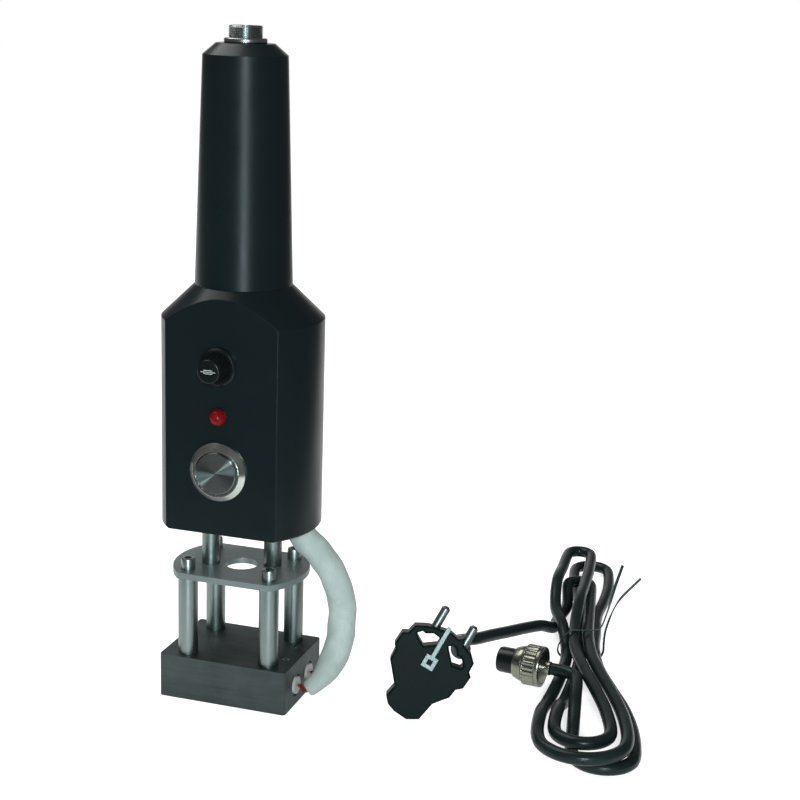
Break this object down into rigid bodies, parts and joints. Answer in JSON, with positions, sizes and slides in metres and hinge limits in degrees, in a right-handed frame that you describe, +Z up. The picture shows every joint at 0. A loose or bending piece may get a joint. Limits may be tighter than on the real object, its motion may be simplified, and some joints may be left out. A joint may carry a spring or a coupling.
{
  "type": "handheld embossing machine",
  "caption": "Handheld hot embossing machine: heated steel block on posts under a black body with fuse, lamp and push button, tapered handle with socket, and coiled power lead.",
  "frame": {"origin": "centre of the working face of the heating block, under the axis of the handle", "axes": "+Z up the handle, -Y out of the flat with the controls, +X towards the sleeve and the lead"},
  "size_m": [0.246, 0.2769, 0.3282],
  "materials": {
    "block_steel": "machined, dark",
    "steel": "satin",
    "bright_metal": "polished",
    "black_coat": "satin black",
    "black_plastic": "smooth black",
    "red_lens": "clear red",
    "ceramic": "white",
    "sleeve_cloth": "woven, pale grey green",
    "red_wire": "dark red",
    "brass": "plain",
    "black_rubber": "smooth black",
    "glass": "clear"
  },
  "bodies": {
    "machine": {"heating_block": "block_steel", "heater_1": "steel", "heater_2": "steel", "lower_post_1": "steel", "lower_post_2": "steel", "lower_post_3": "steel", "lower_post_4": "steel", "mid_plate": "steel", "upper_post_1": "steel", "upper_post_2": "steel", "bottom_cover": "steel", "handle_nut": "steel", "button_nut": "steel", "set_screw_1": "bright_metal", "set_screw_2": "bright_metal", "plate_screw_1": "bright_metal", "plate_screw_2": "bright_metal", "plate_screw_3": "bright_metal", "plate_screw_4": "bright_metal", "upper_post_screw_1": "bright_metal", "upper_post_screw_2": "bright_metal", "upper_post_nut_1": "bright_metal", "upper_post_nut_2": "bright_metal", "socket_shell": "bright_metal", "socket_nut": "bright_metal", "button_body": "bright_metal", "body_shell": "black_coat", "handle_tube": "black_coat", "socket_insert": "black_plastic", "fuse_holder": "black_plastic", "fuse_nut": "black_plastic", "lamp_body": "black_plastic", "lamp_lens": "red_lens", "heater_seal_1": "ceramic", "heater_seal_2": "ceramic", "terminal_block": "ceramic", "sleeve": "sleeve_cloth", "wire_feed": "red_wire", "wire_switch": "red_wire", "heater_lead_1": "red_wire", "heater_lead_2": "red_wire", "socket_contact_1": "brass", "socket_contact_2": "brass", "socket_contact_3": "brass"},
    "fuse_carrier": {"fuse_link": "glass"},
    "fuse_knob": {"fuse_cap": "black_plastic"},
    "button": {"button_face": "bright_metal"},
    "lead": {"plug_body": "black_plastic", "plug_pin_left": "bright_metal", "plug_pin_right": "bright_metal", "plug_earth": "bright_metal", "plug_relief": "black_rubber", "cord_run": "black_rubber", "cord_hank": "black_rubber", "hank_tie": "steel", "connector_shell": "bright_metal", "connector_insert": "black_plastic"},
    "coupling_ring": {"connector_ring": "bright_metal"}
  },
  "joints": [
    {"name": "fuse_lift", "type": "slide", "parent": "machine", "child": "fuse_carrier", "axis": [0, -1, 0], "range_m": [0, 0.045]},
    {"name": "fuse_turn", "type": "hinge", "parent": "fuse_carrier", "child": "fuse_knob", "pos_m": [-0.001, -0.02695, 0.1727], "axis": [0, 1, 0], "range_deg": [0, 90]},
    {"name": "button_press", "type": "slide", "parent": "machine", "child": "button", "axis": [0, 1, 0], "range_m": [0, 0.0025], "stiffness_N_per_m": 900, "springref_m": -0.001},
    {"name": "lead_lift", "type": "slide", "parent": "machine", "child": "lead", "axis": [0, 0, 1], "range_m": [0, 0.3]},
    {"name": "ring_turn", "type": "hinge", "parent": "lead", "child": "coupling_ring", "pos_m": [0.14475, 0.05395, 0.0119], "axis": [-0.9946, 0.1041, 0], "continuous": true}
  ]
}
